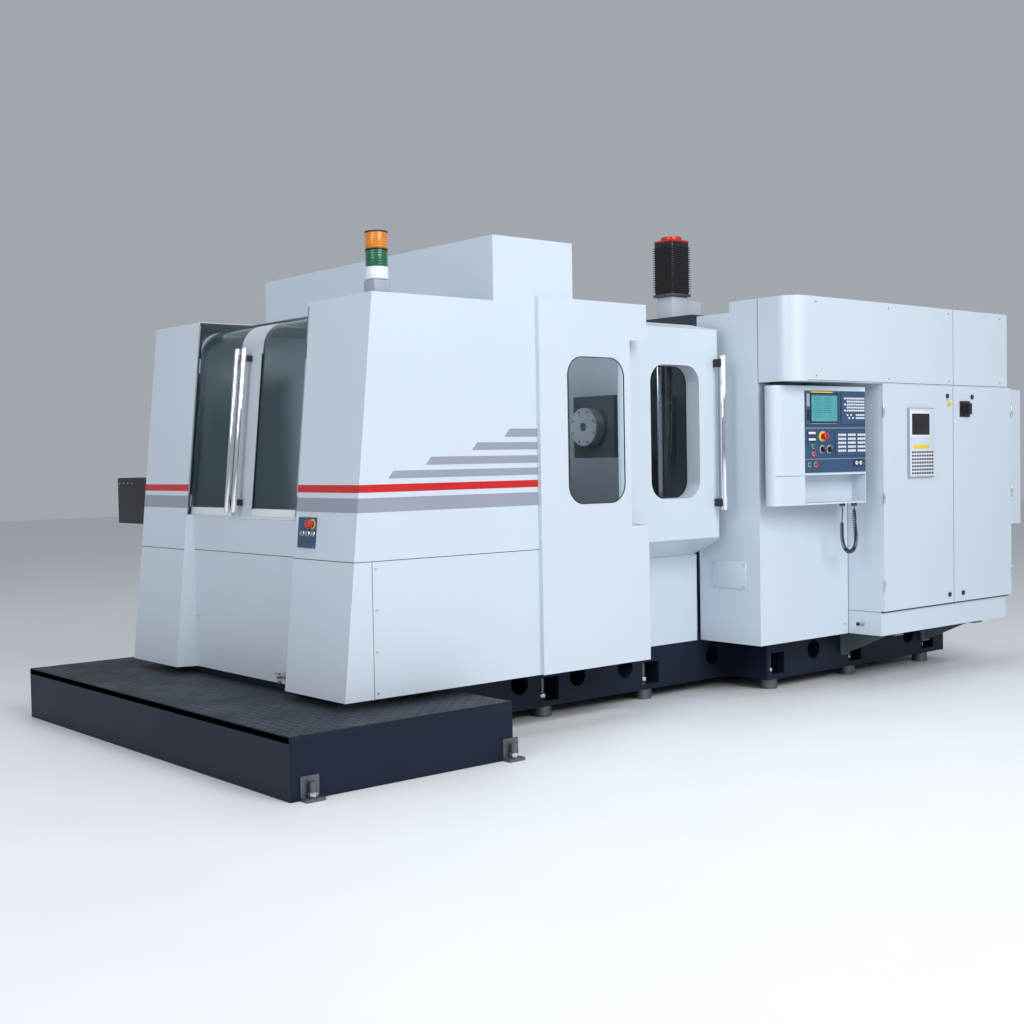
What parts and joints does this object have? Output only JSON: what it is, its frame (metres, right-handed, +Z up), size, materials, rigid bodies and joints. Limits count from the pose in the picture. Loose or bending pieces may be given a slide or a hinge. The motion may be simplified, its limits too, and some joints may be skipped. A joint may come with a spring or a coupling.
{
  "type": "horizontal machining center with pallet changer",
  "caption": "Horizontal machining center with a twin pallet changer, sliding doors, operator pendant and electrical cabinet on a navy base.",
  "frame": {"origin": "bottom centre of the machine, on the floor", "axes": "+X from the setup station to the electrical cabinet, -Y towards the operator, +Z up"},
  "size_m": [5.585, 3.279, 2.79],
  "materials": {
    "body_paint": "satin",
    "navy_paint": "satin",
    "frame_paint": "satin",
    "bracket_paint": "satin",
    "conveyor_paint": "satin",
    "red_stripe": "satin",
    "grey_stripe": "satin",
    "dark_steel": "satin",
    "tread_steel": "satin",
    "ground_steel": "satin",
    "stainless": "satin",
    "cast_iron": "satin",
    "chrome": "polished",
    "clear_glass": "polished",
    "grey_plastic": "satin",
    "black_plastic": "satin",
    "panel_blue": "satin",
    "screen": "gloss",
    "white_plastic": "satin",
    "yellow_plastic": "satin",
    "red_plastic": "gloss",
    "green_plastic": "gloss",
    "amber_lens": "gloss",
    "rubber": "matte"
  },
  "bodies": {
    "machine": {"base_casting": "navy_paint", "leveling_feet": "dark_steel", "step_platform": "navy_paint", "tread_plate": "tread_steel", "near_side_covers": "body_paint", "far_side_covers": "body_paint", "setup_aprons": "body_paint", "setup_roof": "body_paint", "hood_box": "body_paint", "window_panel": "body_paint", "window_panel_glass": "clear_glass", "lower_side_wall": "body_paint", "column_side_cover": "body_paint", "rear_covers": "body_paint", "overhead_box": "body_paint", "cabinet_shell": "body_paint", "cabinet_brackets": "bracket_paint", "heat_exchanger": "body_paint", "changer_pedestal": "cast_iron", "linear_rails": "ground_steel", "column_way_cover": "stainless", "magazine_frame": "cast_iron", "chip_conveyor": "conveyor_paint", "signal_tower": "amber_lens", "pendant_swivel": "rubber", "setup_box": "panel_blue"},
    "near_setup_door": {"setup_door_near": "frame_paint", "setup_glass_near": "clear_glass"},
    "far_setup_door": {"setup_door_far": "frame_paint", "setup_glass_far": "clear_glass"},
    "side_door": {"operator_door": "body_paint", "operator_door_glass": "clear_glass"},
    "left_cabinet_door": {"cabinet_door_left": "body_paint", "cabinet_cooler": "grey_plastic"},
    "right_cabinet_door": {"cabinet_door_right": "body_paint"},
    "main_switch": {"main_switch_knob": "black_plastic"},
    "pendant": {"pendant_housing": "body_paint", "pendant_panel": "panel_blue", "curly_cord": "rubber"},
    "pendant_stop": {"pendant_estop": "red_plastic"},
    "feed_knob": {"feed_dial": "black_plastic"},
    "spindle_knob": {"spindle_dial": "black_plastic"},
    "setup_stop": {"setup_estop": "red_plastic"},
    "button_1": {"setup_button_1": "ground_steel"},
    "button_2": {"setup_button_2": "ground_steel"},
    "button_3": {"setup_button_3": "ground_steel"},
    "lift": {"changer_lift_post": "ground_steel"},
    "swing_arm": {"changer_arm": "cast_iron", "changer_partition": "stainless", "setup_pallet": "ground_steel"},
    "saddle": {"table_saddle": "cast_iron"},
    "table": {"rotary_table": "ground_steel", "machine_pallet": "ground_steel"},
    "column_slide": {"column": "cast_iron", "head_servo_motor": "black_plastic"},
    "head": {"spindle_head": "cast_iron"},
    "spindle_rotor": {"spindle": "ground_steel"},
    "ball_screw": {"head_ball_screw": "ground_steel"},
    "magazine": {"magazine_disc": "ground_steel"},
    "tool_arm": {"tool_change_arm": "cast_iron"}
  },
  "joints": [
    {"name": "near_door_slide", "type": "slide", "parent": "machine", "child": "near_setup_door", "axis": [0, -1, 0], "range_m": [0, 0.465]},
    {"name": "far_door_slide", "type": "slide", "parent": "machine", "child": "far_setup_door", "axis": [0, 1, 0], "range_m": [0, 0.465]},
    {"name": "side_door_slide", "type": "slide", "parent": "machine", "child": "side_door", "axis": [-1, 0, 0], "range_m": [0, 0.75]},
    {"name": "left_cabinet_hinge", "type": "hinge", "parent": "machine", "child": "left_cabinet_door", "pos_m": [1.1983, -1.5945, 1.11], "axis": [0, 0, 1], "range_deg": [-105, 0]},
    {"name": "right_cabinet_hinge", "type": "hinge", "parent": "machine", "child": "right_cabinet_door", "pos_m": [2.5917, -1.5945, 1.11], "axis": [0, 0, 1], "range_deg": [0, 105]},
    {"name": "main_switch_turn", "type": "hinge", "parent": "right_cabinet_door", "child": "main_switch", "pos_m": [2.0535, -1.5945, 1.636], "axis": [0, 1, 0], "range_deg": [0, 90]},
    {"name": "pendant_swing", "type": "hinge", "parent": "machine", "child": "pendant", "pos_m": [0.4535, -1.4375, 1.4], "axis": [0, 0, 1], "range_deg": [-75, 0]},
    {"name": "pendant_stop_press", "type": "slide", "parent": "pendant", "child": "pendant_stop", "axis": [0.1045, 0.9945, 0], "range_m": [0, 0.006], "stiffness_N_per_m": 1200},
    {"name": "feed_turn", "type": "hinge", "parent": "pendant", "child": "feed_knob", "pos_m": [0.72213, -1.52204, 1.399], "axis": [0.1045, 0.9945, 0], "range_deg": [-135, 135]},
    {"name": "spindle_turn", "type": "hinge", "parent": "pendant", "child": "spindle_knob", "pos_m": [0.77683, -1.52779, 1.399], "axis": [0.1045, 0.9945, 0], "range_deg": [-135, 135]},
    {"name": "setup_stop_press", "type": "slide", "parent": "machine", "child": "setup_stop", "axis": [0.9948, 0, -0.1022], "range_m": [0, 0.006], "stiffness_N_per_m": 1200},
    {"name": "button_1_press", "type": "slide", "parent": "machine", "child": "button_1", "axis": [0.9948, 0, -0.1022], "range_m": [0, 0.004], "stiffness_N_per_m": 500},
    {"name": "button_2_press", "type": "slide", "parent": "machine", "child": "button_2", "axis": [0.9948, 0, -0.1022], "range_m": [0, 0.004], "stiffness_N_per_m": 500},
    {"name": "button_3_press", "type": "slide", "parent": "machine", "child": "button_3", "axis": [0.9948, 0, -0.1022], "range_m": [0, 0.004], "stiffness_N_per_m": 500},
    {"name": "changer_lift", "type": "slide", "parent": "machine", "child": "lift", "axis": [0, 0, 1], "range_m": [0, 0.06]},
    {"name": "changer_swing", "type": "hinge", "parent": "lift", "child": "swing_arm", "pos_m": [-1.1475, -0.1455, 0.9], "axis": [0, 0, 1], "range_deg": [0, 180]},
    {"name": "table_travel", "type": "slide", "parent": "machine", "child": "saddle", "axis": [1, 0, 0], "range_m": [-0.555, 0.06]},
    {"name": "table_rotation", "type": "hinge", "parent": "saddle", "child": "table", "pos_m": [0.0075, -0.1455, 0.9], "axis": [0, 0, 1], "continuous": true},
    {"name": "column_travel", "type": "slide", "parent": "machine", "child": "column_slide", "axis": [0, 1, 0], "range_m": [-0.35, 0.35]},
    {"name": "head_travel", "type": "slide", "parent": "column_slide", "child": "head", "axis": [0, 0, 1], "range_m": [-0.31, 0.19]},
    {"name": "screw_spin", "type": "hinge", "parent": "column_slide", "child": "ball_screw", "pos_m": [0.9775, -0.1455, 1.5], "axis": [0, 0, 1], "continuous": true},
    {"name": "spindle_spin", "type": "hinge", "parent": "head", "child": "spindle_rotor", "pos_m": [0.2575, -0.1455, 1.564], "axis": [1, 0, 0], "continuous": true},
    {"name": "magazine_spin", "type": "hinge", "parent": "machine", "child": "magazine", "pos_m": [-0.0125, 0.6445, 1.65], "axis": [1, 0, 0], "continuous": true},
    {"name": "tool_arm_swing", "type": "hinge", "parent": "machine", "child": "tool_arm", "pos_m": [0.1075, 0.3545, 1.65], "axis": [1, 0, 0], "range_deg": [0, 90]}
  ],
  "couplings": [
    {"joint": "screw_spin", "follows": "head_travel", "rad_per_m": 392.7}
  ]
}
